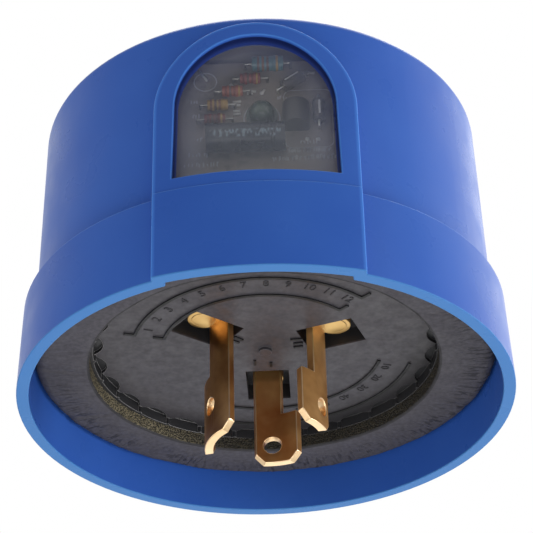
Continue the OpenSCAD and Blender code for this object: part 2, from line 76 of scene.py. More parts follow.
# Sizes of the solids that their boxes don't show, as in the part's source
WALL = 2.1 * MM
BODY_H = 36.8 * MM
PANEL_W = 33 * MM
PANEL_R = 52 * MM
PANEL_STEP = 0.2 * MM
PANEL_LEAN = math.tan(math.radians(3.2))
PANEL_SPRING = 26.2 * MM
WINDOW_W = 28.2 * MM
WINDOW_SILL = 11.3 * MM
WINDOW_SPRING = 26.5 * MM
GASKET_W = 9.8 * MM
GASKET_EDGE_R = 1.8 * MM
GASKET_GAP = 0.15 * MM
RECESS_DEPTH = 1.9 * MM
DISC_PROUD = 0.65 * MM

# Places worked out from the solids' boxes
COVER_LOW, COVER_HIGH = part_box("cover")
RIM_Z = COVER_LOW.z
CEILING_Z = COVER_HIGH.z - WALL
LEDGE_Z = COVER_HIGH.z - BODY_H
PANEL_FRONT = COVER_LOW.y + PANEL_STEP
GASKET_LOW, GASKET_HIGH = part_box("gasket")
GASKET_FACE = GASKET_LOW.z
GASKET_TOP = GASKET_HIGH.z
GASKET_OUT_R = GASKET_HIGH.x
GASKET_IN_R = GASKET_OUT_R - GASKET_W
RECESS_R = GASKET_IN_R - GASKET_GAP
DISC_Z = GASKET_TOP + RECESS_DEPTH - DISC_PROUD
BOARD_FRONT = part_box("circuit_board")[0].y


def srgb(red, green, blue):
    """A colour as a picture shows it, 0 to 255, turned into the linear values that nodes take."""
    linear = []
    for value in (red, green, blue):
        share = value / 255
        linear.append(share / 12.92 if share <= 0.04045 else ((share + 0.055) / 1.055) ** 2.4)
    return (*linear, 1)


class Recipe:
    """A material's node tree, with short calls for the nodes that it is made of."""

    def __init__(self, name, **settings):
        self.material = bpy.data.materials.new(name)
        self.material.use_nodes = True
        self.tree = self.material.node_tree
        self.shader = self.tree.nodes["Principled BSDF"]
        self.place = self.add("ShaderNodeTexCoord").outputs["Object"]
        for socket, value in settings.items():
            self.shader.inputs[socket.replace("_", " ")].default_value = value

    def add(self, kind, inputs=None, **attributes):
        """A node with its attributes set, and its inputs linked or set."""
        made = self.tree.nodes.new(kind)
        for name, value in attributes.items():
            setattr(made, name, value)
        for socket, value in (inputs or {}).items():
            if isinstance(value, bpy.types.NodeSocket):
                self.tree.links.new(value, made.inputs[socket])
            else:
                made.inputs[socket].default_value = value
        return made

    def set(self, socket, value):
        """Links a value to one of the shader's sockets."""
        self.tree.links.new(value, self.shader.inputs[socket])

    def moved(self, centre=(0, 0, 0), scale=(1, 1, 1)):
        """Object coordinates from another centre, stretched along each axis."""
        start = [-c * s for c, s in zip(centre, scale)]
        inputs = {"Vector": self.place, "Location": start, "Scale": scale}
        return self.add("ShaderNodeMapping", inputs).outputs[0]

    def noise(self, scale, detail=3, place=None):
        inputs = {"Vector": place or self.place, "Scale": scale, "Detail": detail}
        return self.add("ShaderNodeTexNoise", inputs).outputs[0]

    def cells(self, scale):
        """Distance to the middle of the nearest cell."""
        inputs = {"Vector": self.place, "Scale": scale}
        return self.add("ShaderNodeTexVoronoi", inputs).outputs["Distance"]

    def math(self, operation, *values):
        return self.add("ShaderNodeMath", dict(enumerate(values)), operation=operation).outputs[0]

    def product(self, first, *others):
        for other in others:
            first = self.math("MULTIPLY", first, other)
        return first

    def minus(self, first, *others):
        for other in others:
            first = self.math("SUBTRACT", first, other)
        return first

    def diagonal(self, first, second):
        """Length of a line from its parts along two axes."""
        return self.math("SQRT", self.math("ADD", self.product(first, first), self.product(second, second)))

    def off(self, value, target=0.0):
        """How far a value is from a target, on either side."""
        return self.math("ABSOLUTE", self.minus(value, target))

    def span(self, value, low, high, start=0.0, end=1.0):
        """A smooth step from start to end while value goes from low to high."""
        inputs = {"Value": value, "From Min": low, "From Max": high, "To Min": start, "To Max": end}
        return self.add("ShaderNodeMapRange", inputs, interpolation_type="SMOOTHSTEP").outputs[0]

    def dot(self, first, second):
        inputs = {0: first, 1: second}
        return self.add("ShaderNodeVectorMath", inputs, operation="DOT_PRODUCT").outputs["Value"]

    def along(self, centre, axis):
        """Distance from a centre along an axis."""
        return self.dot(self.moved(centre), axis)

    def parts(self, vector=None):
        """X, Y and Z of a vector, or of the point in object coordinates."""
        return self.add("ShaderNodeSeparateXYZ", {0: vector or self.place}).outputs

    def ramp(self, value, *stops):
        """Colours blended between stops, each a position from 0 to 1 and a colour."""
        made = self.add("ShaderNodeValToRGB", {0: value})
        elements = made.color_ramp.elements
        while len(elements) < len(stops):
            elements.new(0.5)
        for element, (position, colour) in zip(elements, stops):
            element.position = position
            element.color = colour
        return made.outputs[0]

    def mix(self, share, first, second):
        """A colour between two, the second where share is 1."""
        inputs = {0: share, 6: first, 7: second}
        return self.add("ShaderNodeMix", inputs, data_type="RGBA").outputs[2]

    def choose(self, share, first, second):
        """A number between two, the second where share is 1."""
        inputs = {0: share, 2: first, 3: second}
        return self.add("ShaderNodeMix", inputs, data_type="FLOAT").outputs[0]

    def mark(self, name):
        """A number that a piece's mesh carries, such as 1 on its rounded edges and 0 elsewhere."""
        return self.add("ShaderNodeAttribute", attribute_name=name).outputs["Fac"]

    def normal(self):
        return self.add("ShaderNodeNewGeometry").outputs["Normal"]

    def rounded(self, width):
        """Shades sharp edges as if rounded by a width, and gives 1 there and 0 elsewhere."""
        soft = self.add("ShaderNodeBevel", {"Radius": width}, samples=6).outputs[0]
        true = self.add("ShaderNodeNewGeometry").outputs["True Normal"]
        self.set("Normal", soft)
        return self.span(self.dot(soft, true), 0.8, 0.97, 1.0, 0.0)

    def radius(self):
        """Distance from the axis."""
        x, y, _ = self.parts()
        return self.diagonal(x, y)

    def bump(self, height, strength, distance):
        """Adds relief over any that is there already."""
        made = self.add("ShaderNodeBump", {"Height": height, "Strength": strength, "Distance": distance})
        if self.shader.inputs["Normal"].is_linked:
            self.tree.links.new(self.shader.inputs["Normal"].links[0].from_socket, made.inputs["Normal"])
        self.tree.links.new(made.outputs[0], self.shader.inputs["Normal"])


def make_camera():
    """A camera at the photograph's viewing angle."""
    data = bpy.data.cameras.new("camera")
    data.lens = CAMERA_LENS
    data.sensor_width = CAMERA_SENSOR
    data.clip_start = 0.01
    camera = bpy.data.objects.new("camera", data)
    scene.collection.objects.link(camera)
    look = (CAMERA_AIM - CAMERA_AT).to_track_quat("-Z", "Y").to_matrix()
    tilted = look @ Matrix.Rotation(CAMERA_TILT, 3, "Z")
    camera.matrix_world = Matrix.Translation(CAMERA_AT) @ tilted.to_4x4()
    scene.camera = camera


def make_world():
    """White where the camera, gloss and glass see it, and a soft grey fill on everything else."""
    world = bpy.data.worlds.new("studio")
    scene.world = world
    world.use_nodes = True
    tree = world.node_tree
    output = tree.nodes["World Output"]
    fill = tree.nodes["Background"]
    fill.inputs["Color"].default_value = (1, 1, 1, 1)
    fill.inputs["Strength"].default_value = WORLD_FILL
    seen = tree.nodes.new("ShaderNodeBackground")
    seen.inputs["Color"].default_value = (1, 1, 1, 1)
    seen.inputs["Strength"].default_value = 1
    rays = tree.nodes.new("ShaderNodeLightPath")
    share = rays.outputs["Is Camera Ray"]
    for ray in ("Is Glossy Ray", "Is Transmission Ray"):
        either = tree.nodes.new("ShaderNodeMath")
        either.operation = "MAXIMUM"
        tree.links.new(share, either.inputs[0])
        tree.links.new(rays.outputs[ray], either.inputs[1])
        share = either.outputs[0]
    mixed = tree.nodes.new("ShaderNodeMixShader")
    tree.links.new(share, mixed.inputs[0])
    tree.links.new(fill.outputs[0], mixed.inputs[1])
    tree.links.new(seen.outputs[0], mixed.inputs[2])
    tree.links.new(mixed.outputs[0], output.inputs["Surface"])


def make_light(name, at, aim, size, power):
    """A soft round light that the camera doesn't see."""
    data = bpy.data.lights.new(name, "AREA")
    data.shape = "DISK"
    data.size = size
    data.energy = power
    light = bpy.data.objects.new(name, data)
    scene.collection.objects.link(light)
    light.location = at
    light.rotation_euler = (Vector(aim) - Vector(at)).to_track_quat("-Z", "Y").to_euler()
    light.visible_camera = False


def make_floor():
    """A pale floor, well below the part."""
    mesh = bpy.data.meshes.new("floor")
    signs = ((-1, -1), (1, -1), (1, 1), (-1, 1))
    corners = [(across * FLOOR_HALF, back * FLOOR_HALF, FLOOR_Z) for across, back in signs]
    mesh.from_pydata(corners, [], [(0, 1, 2, 3)])
    floor = bpy.data.objects.new("floor", mesh)
    scene.collection.objects.link(floor)
    look = Recipe("pale_floor", Roughness=0.8)
    look.set("Base Color", look.ramp(look.noise(3), (0.3, srgb(232, 232, 232)), (0.7, srgb(238, 238, 238))))
    mesh.materials.append(look.material)


make_camera()
make_world()
make_floor()
for name, (at, aim, size, power) in LIGHTS.items():
    make_light(name, at, aim, size, power)
scene.view_settings.view_transform = "Standard"


def arch_reach(look, spring):
    """Half the width of the arch, seen from the front, that goes through a point and springs at a height."""
    x, _, z = look.parts()
    rise = look.math("MAXIMUM", look.minus(z, spring), 0.0)
    return look.diagonal(x, rise)


def blue_plastic():
    """Satin blue moulding, with painted highlights on its rounded edges and round the panel's border, painted
    light on the rim's bottom face, painted shade in the window reveal, and a dusty underside of the top.
    """
    look = Recipe("cover_blue", IOR=1.45, Specular_IOR_Level=0.1)
    x, y, z = look.parts()
    tone = look.ramp(look.noise(45, 4), (0.3, srgb(43, 83, 164)), (0.7, srgb(49, 90, 170)))
    # Painted highlight: the rounded edges are painted paler blue.
    tone = look.mix(look.product(look.mark("edge"), 0.4), tone, srgb(76, 136, 212))
    # Painted highlight: a softly lit band is painted paler round the panel's arch and sides.
    panel_reach = arch_reach(look, PANEL_SPRING)
    border = look.product(
        look.span(panel_reach, PANEL_W / 2 - 0.7 * MM, PANEL_W / 2 - 0.2 * MM),
        look.math("LESS_THAN", panel_reach, PANEL_W / 2 + 0.1 * MM),
        look.math("LESS_THAN", y, 0.0))
    tone = look.mix(look.product(border, 0.45), tone, srgb(70, 128, 212))
    # Painted light: the rim's bottom face is painted paler blue.
    rim = look.span(z, RIM_Z + 0.12 * MM, RIM_Z + 0.3 * MM, 1.0, 0.0)
    tone = look.mix(rim, tone, srgb(62, 113, 172))
    bow = look.math("DIVIDE", look.product(x, x), 2 * PANEL_R)
    lean = look.product(look.minus(z, LEDGE_Z), PANEL_LEAN)
    depth = look.minus(y, PANEL_FRONT, bow, lean)
    # Painted shade: the window's reveal is painted dark navy, darkest near the front edge.
    reveal = look.product(
        look.span(depth, 0.3 * MM, 0.6 * MM),
        look.math("LESS_THAN", depth, 3 * MM),
        look.math("LESS_THAN", arch_reach(look, WINDOW_SPRING), WINDOW_W / 2 + 0.05 * MM),
        look.math("GREATER_THAN", z, WINDOW_SILL - 0.1 * MM))
    inward = look.span(depth, 0.9 * MM, 2.1 * MM)
    shade = look.ramp(inward, (0.0, srgb(16, 28, 72)), (1.0, srgb(40, 58, 122)))
    upward = look.parts(look.normal())[2]
    ceiling = look.product(
        look.math("GREATER_THAN", z, CEILING_Z - 0.1 * MM),
        look.math("LESS_THAN", upward, -0.9))
    tone = look.mix(ceiling, look.mix(reveal, tone, shade), srgb(126, 118, 114))
    look.set("Base Color", tone)
    look.set("Roughness", look.span(look.noise(120, 4), 0.3, 0.7, 0.26, 0.36))
    look.bump(look.noise(2600, 3), 0.05, 0.05 * MM)
    look.bump(look.noise(70, 2), 0.02, 0.4 * MM)
    return look.material


def clear_plastic():
    """A hazy pane: mostly see-through, with a milky surface, painted paler towards its sill as if lit from
    below, and paler towards its border.
    """
    look = Recipe("clear_pane", IOR=1.5, Roughness=0.1)
    height = look.parts()[2]
    haze = look.noise(160, 5)
    # Painted light from below: the haze is painted paler towards the sill.
    upper = look.ramp(haze, (0.3, srgb(112, 116, 130)), (0.7, srgb(130, 134, 148)))
    lower = look.ramp(haze, (0.3, srgb(140, 148, 164)), (0.7, srgb(160, 168, 182)))
    haze_lit_from_below = look.mix(look.span(height, 14 * MM, 34 * MM, 1.0, 0.0), upper, lower)
    border = look.span(arch_reach(look, WINDOW_SPRING), 5 * MM, WINDOW_W / 2)
    look.set("Base Color", look.mix(border, haze_lit_from_below, srgb(132, 140, 168)))
    look.set("Alpha", look.span(border, 0.0, 1.0, 0.15, 0.25))
    look.bump(look.noise(260, 3), 0.03, 0.2 * MM)
    return look.material


# Shading of the base, by distance from the axis: just outside the nub, and where the scallops start
PAST_NUB_R = 2 * MM
SCALLOPED_R = 25.6 * MM


def black_moulding():
    """Fine-grained black moulding, with painted shade on its raised lines, its groove and towards its back
    right edge, and painted highlights on the scallops' edges and round the nub.
    """
    look = Recipe("base_black", Specular_IOR_Level=0.35)
    x, _, z = look.parts()
    radius = look.radius()
    beyond_nub = look.span(radius, PAST_NUB_R - 0.4 * MM, PAST_NUB_R + 0.4 * MM)
    # Painted highlight: pale edges on the scallops, faint on the right and round the nub.
    scallops = look.product(
        look.span(radius, SCALLOPED_R, SCALLOPED_R + 0.6 * MM),
        look.span(x, -12 * MM, -2 * MM, 1.0, 0.2))
    nub = look.product(look.minus(1.0, beyond_nub), 0.3)
    painted_edge_highlight = look.product(look.rounded(0.18 * MM), look.math("MAXIMUM", scallops, nub))
    face = look.ramp(look.noise(1300, 5), (0.3, srgb(53, 51, 55)), (0.7, srgb(66, 64, 69)))
    # Painted shade: the disc is painted darker towards its back right edge.
    backward = look.along((0, 0, 0), (0.5, 0.87, 0))
    back_right_shade = look.product(look.span(radius, 22 * MM, 28 * MM), look.span(backward, 4 * MM, 20 * MM), 0.8)
    face = look.mix(back_right_shade, face, srgb(32, 31, 33))
    # Painted shade: the groove's wall and floor round the disc are painted dark.
    wall = look.span(radius, RECESS_R - 0.45 * MM, RECESS_R - 0.3 * MM)
    floor = look.span(z, DISC_Z + 0.25 * MM, DISC_Z + 0.4 * MM)
    # Painted shade: raised lines and figures are painted near black, clear of the nub.
    raised = look.product(look.span(z, DISC_Z - 0.12 * MM, DISC_Z - 0.05 * MM, 1.0, 0.0), beyond_nub)
    tone = look.mix(raised, face, srgb(15, 15, 16))
    tone = look.mix(look.math("MAXIMUM", wall, floor), tone, srgb(38, 38, 40))
    look.set("Base Color", look.mix(look.product(painted_edge_highlight, 0.85), tone, srgb(168, 166, 166)))
    look.set("Roughness", look.span(look.noise(500, 4), 0.3, 0.7, 0.4, 0.58))
    look.bump(look.noise(2400, 4), 0.15, 0.06 * MM)
    return look.material


def foam():
    """Closed-cell foam: a wrinkled skin on the face with painted shade in its folds, painted shade along the
    lip, and open cells on the cut inner wall, painted darker except on the left.
    """
    look = Recipe("foam_grey", Specular_IOR_Level=0.3)
    cut = look.mark("cut")
    x, y, _ = look.parts()
    around = look.product(look.math("ARCTAN2", y, x), 26)
    outward = look.product(look.radius(), 160)
    unrolled = look.add("ShaderNodeCombineXYZ", {0: around, 1: outward}).outputs[0]
    folds = look.product(
        look.span(look.noise(2.2, 4, unrolled), 0.53, 0.6),
        look.span(look.noise(38, 2), 0.42, 0.56),
        look.span(look.radius(), GASKET_IN_R + 1.5 * MM, GASKET_OUT_R - 2.5 * MM))
    skin = look.ramp(look.noise(1400, 5), (0.3, srgb(56, 54, 59)), (0.7, srgb(73, 71, 77)))
    # Painted shade: the folds are painted darker.
    skin = look.mix(look.product(folds, 0.75), skin, srgb(30, 29, 32))
    # Painted shade: a dark line is painted along the lip.
    lip = look.span(look.off(cut, 0.5), 0.15, 0.45, 0.8, 0.0)
    skin = look.mix(lip, skin, srgb(30, 29, 30))
    pores = look.cells(3600)
    speck = look.math("ADD", look.product(pores, 0.7), look.product(look.noise(2800, 2), 0.5))
    open_cells = look.ramp(
        speck, (0.32, srgb(16, 15, 13)), (0.5, srgb(34, 32, 27)), (0.7, srgb(118, 110, 88)))
    # Painted shade: the cut wall is painted darker towards its right and back, and left lit only on the left.
    shaded = look.span(x, -24 * MM, -6 * MM, 0.0, 0.8)
    open_cells = look.mix(shaded, open_cells, srgb(22, 20, 18))
    bare = look.span(cut, 0.6, 0.9)
    look.set("Base Color", look.mix(bare, skin, open_cells))
    look.set("Roughness", look.span(look.noise(300), 0.3, 0.7, 0.55, 0.75))
    look.bump(look.product(speck, bare), 0.7, 0.4 * MM)
    look.bump(folds, 0.5, 0.25 * MM)
    look.bump(look.noise(1500, 4), 0.2, 0.08 * MM)
    return look.material


def brass(name, tone, metallic=1.0):
    """Rolled brass: copper-toned upright faces, with painted light on faces that look down, pale on the cut
    tips and golden on the feet, and painted highlights on its rounded edges.
    """
    look = Recipe(name, Metallic=metallic)
    # Painted light: faces that look down and rounded edges are painted pale or golden, as if lit from below.
    facing_down = look.span(look.parts(look.normal())[2], -0.75, -0.35, 1.0, 0.0)
    stain_and_shadow = look.noise(160, 3)
    tip = look.ramp(stain_and_shadow, (0.3, srgb(232, 196, 146)), (0.7, srgb(244, 216, 176)))
    foot = look.ramp(stain_and_shadow, (0.3, srgb(198, 160, 98)), (0.7, srgb(216, 180, 116)))
    bright = look.mix(look.span(look.parts()[2], -3 * MM, 1 * MM), tip, foot)
    side = look.ramp(stain_and_shadow, (0.3, tone), (0.7, srgb(232, 178, 112)))
    look.set("Base Color", look.mix(look.math("MAXIMUM", facing_down, look.mark("edge")), side, bright))
    look.set("Roughness", look.span(look.noise(240, 3), 0.3, 0.7, 0.3, 0.38))
    look.bump(look.noise(900, 2), 0.03, 0.02 * MM)
    return look.material


# Middle of a painted shadow below the lying capacitor, low on the board's front
CAPACITOR_SHADOW_AT = (-1.3 * MM, 0, 14.6 * MM)


def laminate():
    """Brown board, lightly woven, with a painted shadow below the capacitor."""
    look = Recipe("board_laminate", Roughness=0.5)
    weave = look.math("ADD", look.noise(900, 4), look.noise(90, 3))
    tone = look.ramp(weave, (0.7, srgb(122, 113, 106)), (0.95, srgb(148, 138, 129)))
    # Painted shadow of the capacitor: a soft dark patch on the board.
    x, _, z = look.parts(look.moved(CAPACITOR_SHADOW_AT, (1, 0, 2.2)))
    stain_and_shadow = look.span(look.diagonal(x, z), 3 * MM, 7 * MM, 0.75, 0.0)
    look.set("Base Color", look.mix(stain_and_shadow, tone, srgb(58, 54, 54)))
    look.bump(look.noise(1800, 3), 0.1, 0.05 * MM)
    return look.material


def mottled(name, dark, light, scale, roughness=(0.35, 0.5)):
    """A moulded or painted surface with a gentle change of tone, gloss and grain."""
    look = Recipe(name)
    look.set("Base Color", look.ramp(look.noise(scale, 4), (0.3, dark), (0.7, light)))
    look.set("Roughness", look.span(look.noise(scale * 1.7, 3), 0.3, 0.7, *roughness))
    look.bump(look.noise(scale * 6, 3), 0.1, 0.04 * MM)
    return look.material


def middle(node):
    """Middle of a CAD node's box."""
    low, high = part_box(node)
    return (low + high) / 2


def axial(name, node, half, body, bands):
    """A painted body along X with colour bands, each a place, a width and a colour, and tinned leads."""
    look = Recipe(name)
    way = look.along(middle(node), (1, 0, 0))
    grain = look.noise(900, 3)
    dark = tuple(0.8 * part for part in body[:3]) + (1,)
    colour = look.ramp(grain, (0.3, dark), (0.7, body))
    for at, width, band in bands:
        away = look.off(way, at * half)
        colour = look.mix(look.span(away, width * half, width * half * 1.25, 1.0, 0.0), colour, band)
    tinned = look.math("GREATER_THAN", look.off(way), half * 1.02)
    look.set("Base Color", look.mix(tinned, colour, srgb(150, 148, 142)))
    look.set("Metallic", tinned)
    look.set("Roughness", look.span(grain, 0.3, 0.7, 0.25, 0.4))
    look.bump(look.noise(2500, 2), 0.08, 0.04 * MM)
    return look.material


# The two diodes: middles of their bodies and of the painted glints on them, the upper one's slant, and half
# lengths
UPPER_DIODE_AT = (6.2 * MM, 0, 37.1 * MM)
UPPER_GLINT_AT = (6.0 * MM, 0, 37.4 * MM)
UPPER_SLANT = math.radians(36)
LOWER_DIODE_AT = (10.4 * MM, 0, 30.7 * MM)
LOWER_GLINT_AT = (10.5 * MM, 0, 30.7 * MM)
BETWEEN_DIODES_X = 8.6 * MM
DIODE_HALF = 1.93 * MM
GLINT_HALF = 1.4 * MM


def diode_black():
    """Two dull bodies, each with a painted glint along it, on bright leads: one slanted and one upright."""
    look = Recipe("diode_black")
    along_upper = look.along(UPPER_DIODE_AT, (math.cos(UPPER_SLANT), 0, math.sin(UPPER_SLANT)))
    across_upper = look.along(UPPER_GLINT_AT, (-math.sin(UPPER_SLANT), 0, math.cos(UPPER_SLANT)))
    along_lower = look.along(LOWER_DIODE_AT, (0, 0, 1))
    across_lower = look.along(LOWER_GLINT_AT, (1, 0, 0))
    lower = look.math("GREATER_THAN", look.parts()[0], BETWEEN_DIODES_X)
    way = look.off(look.choose(lower, along_upper, along_lower))
    across = look.off(look.choose(lower, across_upper, across_lower))
    grain = look.noise(900, 3)
    body = look.ramp(grain, (0.3, srgb(66, 62, 60)), (0.7, srgb(84, 80, 77)))
    # Painted highlight: a pale glint along each body.
    glint = look.product(
        look.span(across, 0.14 * MM, 0.2 * MM, 1.0, 0.0),
        look.math("LESS_THAN", way, GLINT_HALF))
    tinned = look.math("GREATER_THAN", way, DIODE_HALF)
    glinted_body = look.mix(glint, body, srgb(232, 230, 226))
    look.set("Base Color", look.mix(tinned, glinted_body, srgb(226, 224, 218)))
    look.set("Metallic", tinned)
    look.set("Roughness", look.span(grain, 0.3, 0.7, 0.22, 0.36))
    look.bump(look.noise(2500, 2), 0.08, 0.04 * MM)
    return look.material


# Marks on the capacitor: how low the row lies, half its length, and how far forward of the middle it starts
MARKS_DROP = 0.7 * MM
MARKS_HALF = 5.8 * MM
MARKS_FRONT = 1.5 * MM


def sleeve():
    """A capacitor's dark shrink sleeve, with a pale stripe of plain marks along its front."""
    look = Recipe("capacitor_black")
    centre = middle("smoothing_capacitor")
    x, y, z = look.parts(look.moved(centre))
    grain = look.noise(700, 4)
    dark = look.ramp(grain, (0.3, srgb(18, 20, 28)), (0.7, srgb(30, 32, 41)))
    beat = look.noise(1, 2, look.moved(centre, (1900, 1, 1100)))
    marks = look.product(
        look.span(look.off(z, -MARKS_DROP), 0.5 * MM, 0.8 * MM, 1.0, 0.0),
        look.span(beat, 0.46, 0.6),
        look.math("LESS_THAN", y, -MARKS_FRONT),
        look.math("LESS_THAN", look.off(x), MARKS_HALF))
    look.set("Base Color", look.mix(marks, dark, srgb(112, 126, 134)))
    look.set("Roughness", look.span(grain, 0.3, 0.7, 0.25, 0.4))
    look.bump(look.noise(1500, 3), 0.08, 0.05 * MM)
    return look.material


def add_piece(name, mesh, material):
    """Adds a mesh as a piece that rides on the part's one body."""
    piece = bpy.data.objects.new(name, mesh)
    scene.collection.objects.link(piece)
    mesh.materials.append(material)
    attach(piece, "root")
    return piece


def clean_mesh(name, bm):
    """A new mesh with the shape and the sharp edges of bm and nothing else carried over."""
    mesh = bpy.data.meshes.new(name)
    bm.verts.index_update()
    mesh.from_pydata([v.co[:] for v in bm.verts], [], [[v.index for v in f.verts] for f in bm.faces])
    mesh.shade_smooth()
    sharp = {frozenset(v.index for v in e.verts) for e in bm.edges if not e.smooth}
    for edge in mesh.edges:
        edge.use_edge_sharp = frozenset(edge.vertices) in sharp
    bm.free()
    return mesh


# Rounded copies: width of the rounding on the cover and on the blades
COVER_EDGE = 0.18 * MM
BLADE_EDGE = 0.14 * MM
# Angles from which an outer edge is rounded and an inner one stays sharp, and up to which faces are joined
ROUNDED_ANGLE = math.radians(30)
CREASE_ANGLE = math.radians(15)
FLAT_ANGLE = math.radians(0.2)
# Distance up to which points are joined
WELD = 0.001 * MM


def softened(node, width, material):
    """Stands for a CAD node: the same shape with its sharp edges rounded by a small width."""
    bm = bmesh.new()
    bm.from_mesh(nodes[node].data)
    bmesh.ops.remove_doubles(bm, verts=bm.verts, dist=WELD)
    bmesh.ops.dissolve_limit(bm, angle_limit=FLAT_ANGLE, verts=bm.verts, edges=bm.edges)
    edges = [e for e in bm.edges if e.is_convex and e.calc_face_angle() > ROUNDED_ANGLE]
    made = bmesh.ops.bevel(
        bm, geom=edges, affect="EDGES", offset_type="OFFSET", offset=width,
        segments=2, profile=0.5, clamp_overlap=False, loop_slide=False)
    rounded = set(made["faces"])
    on_edge = [1.0 if face in rounded else 0.0 for face in bm.faces]
    for edge in bm.edges:
        edge.smooth = edge.is_convex or edge.calc_face_angle(0) < CREASE_ANGLE
    mesh = clean_mesh(node + "_rounded", bm)
    mesh.attributes.new("edge", "FLOAT", "FACE").data.foreach_set("value", on_edge)
    piece = add_piece(node + "_rounded", mesh, material)
    piece.modifiers.new("even_shading", "WEIGHTED_NORMAL").keep_sharp = True
    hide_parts(node)


# Foam ring: steps round the axis, steps of its section down the wall, round the lip, along the face and
# round the edge, and the lip's radius
GASKET_STEPS = 720
WALL_STEPS = 9
LIP_STEPS = 4
FACE_STEPS = 24
EDGE_STEPS = 8
LIP_R = 0.3 * MM

# Unevenness of the foam: how far its face dishes, ripples and swells and its cut wall is pitted, the creases'
# width, and the depth over which all this fades in from the glued side
DISH = 0.22 * MM
RIPPLE = 0.3 * MM
SWELL = 0.12 * MM
PITS = 0.08 * MM
CREASE_W = 0.45 * MM
FIRM_DEPTH = 1.2 * MM

# Creases pressed into the foam's face: direction in degrees, slant and depth in mm
CREASES = (
    (152, 0.3, 0.25), (327, 0.9, 0.22), (336, -0.2, 0.2),
    (194, -0.3, 0.25), (180, 0.2, 0.22), (20, 0.4, 0.2),
)
# Where the ring was cut a little off its circle: direction and spread in degrees, and shift in mm
CUT_SHIFTS = ((165, 38, 0.5), (90, 35, -0.2))


def gasket_section():
    """Radius and height of points down the foam's inner wall, along its face and up to its outer edge."""
    section = []
    wall = GASKET_TOP - GASKET_FACE - LIP_R
    for step in range(WALL_STEPS):
        section.append((GASKET_IN_R, GASKET_TOP - wall * step / (WALL_STEPS - 1)))
    for step in range(1, LIP_STEPS + 1):
        turn = math.pi / 2 * step / LIP_STEPS
        inset = LIP_R * (1 - math.cos(turn))
        section.append((GASKET_IN_R + inset, GASKET_FACE + LIP_R * (1 - math.sin(turn))))
    face = GASKET_OUT_R - GASKET_EDGE_R - GASKET_IN_R - LIP_R
    for step in range(1, FACE_STEPS + 1):
        section.append((GASKET_IN_R + LIP_R + face * step / FACE_STEPS, GASKET_FACE))
    for step in range(1, EDGE_STEPS + 1):
        turn = math.pi / 2 * step / EDGE_STEPS
        rise = GASKET_EDGE_R * (1 - math.cos(turn))
        section.append((GASKET_OUT_R - GASKET_EDGE_R * (1 - math.sin(turn)), GASKET_FACE + rise))
    section.append((GASKET_OUT_R, (GASKET_FACE + GASKET_EDGE_R + GASKET_TOP) / 2))
    section.append((GASKET_OUT_R, GASKET_TOP))
    return section


def foam_point(r, z, angle):
    """Moves a point of the ring's smooth section by its wrinkles, creases, cut cells and uneven cut."""
    out = (r - GASKET_IN_R) / GASKET_W
    low = min(1.0, max(0.0, (GASKET_TOP - z) / FIRM_DEPTH))
    around = Vector((math.cos(angle), math.sin(angle), 0))
    ripple = noise.noise(around * 22 + Vector((0, 0, r * 260)))
    patch = 0.5 + 0.5 * noise.noise(around * 1.7 + Vector((4, 1, 7)))
    swell = noise.noise(around * 6 + Vector((0, 0, r * 120)))
    lift = DISH * (out - 0.4) * low
    lift += RIPPLE * ripple * patch * max(0.0, out - 0.55) / 0.45 * low
    lift += SWELL * swell * low
    for at, slant, depth in CREASES:
        off = (angle - math.radians(at) + math.pi) % (2 * math.pi) - math.pi
        side = off * r - slant * (r - GASKET_IN_R)
        lift += depth * MM * math.exp(-((side / CREASE_W) ** 2)) * low * min(1.0, 3 * out)
    outward = 0.0
    for at, spread, shift in CUT_SHIFTS:
        off = (math.degrees(angle) - at + 180) % 360 - 180
        outward += shift * MM * math.exp(-((off / spread) ** 2)) * max(0.0, 1 - 2 * out)
    if out < 0.02 and low > 0:
        outward += PITS * noise.noise(around * 60 + Vector((0, 0, z * 1500)))
    return around * min(r + outward, GASKET_OUT_R) + Vector((0, 0, z + lift))


def make_gasket(material):
    """The foam ring: its section turned round the axis, with wrinkles, creases and cells."""
    section = gasket_section()
    count = len(section)
    bm = bmesh.new()
    rings = []
    for step in range(GASKET_STEPS):
        angle = 2 * math.pi * step / GASKET_STEPS
        rings.append([bm.verts.new(foam_point(r, z, angle)) for r, z in section])
    for ring, following in zip(rings, rings[1:] + rings[:1]):
        for i in range(count):
            j = (i + 1) % count
            bm.faces.new((ring[i], ring[j], following[j], following[i]))
    bmesh.ops.recalc_face_normals(bm, faces=bm.faces)
    mesh = clean_mesh("gasket_foam", bm)
    mesh.set_sharp_from_angle(angle=math.radians(50))
    cut = mesh.attributes.new("cut", "FLOAT", "POINT")
    kinds = [1.0] * WALL_STEPS + [0.5] * LIP_STEPS + [0.0] * (count - WALL_STEPS - LIP_STEPS)
    cut.data.foreach_set("value", kinds * GASKET_STEPS)
    piece = add_piece("gasket_foam", mesh, material)
    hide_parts("gasket")


def on_disc(radius, degrees):
    """Axes for a mark on the base's lower face: X along the arc, Y outward and Z out of the face."""
    turn = math.radians(degrees)
    outward = Vector((math.cos(turn), math.sin(turn), 0))
    axes = Matrix(((-outward.y, outward.x, 0), (outward.x, outward.y, 0), (0, 0, -1))).transposed()
    return Matrix.Translation(outward * radius + Vector((0, 0, DISC_Z))) @ axes.to_4x4()


def on_board(x, z):
    """Axes for a mark on the board's front: X to the right, Y up and Z towards the window."""
    axes = Matrix(((1, 0, 0), (0, 0, 1), (0, -1, 0))).transposed()
    return Matrix.Translation(Vector((x * MM, BOARD_FRONT, z * MM))) @ axes.to_4x4()


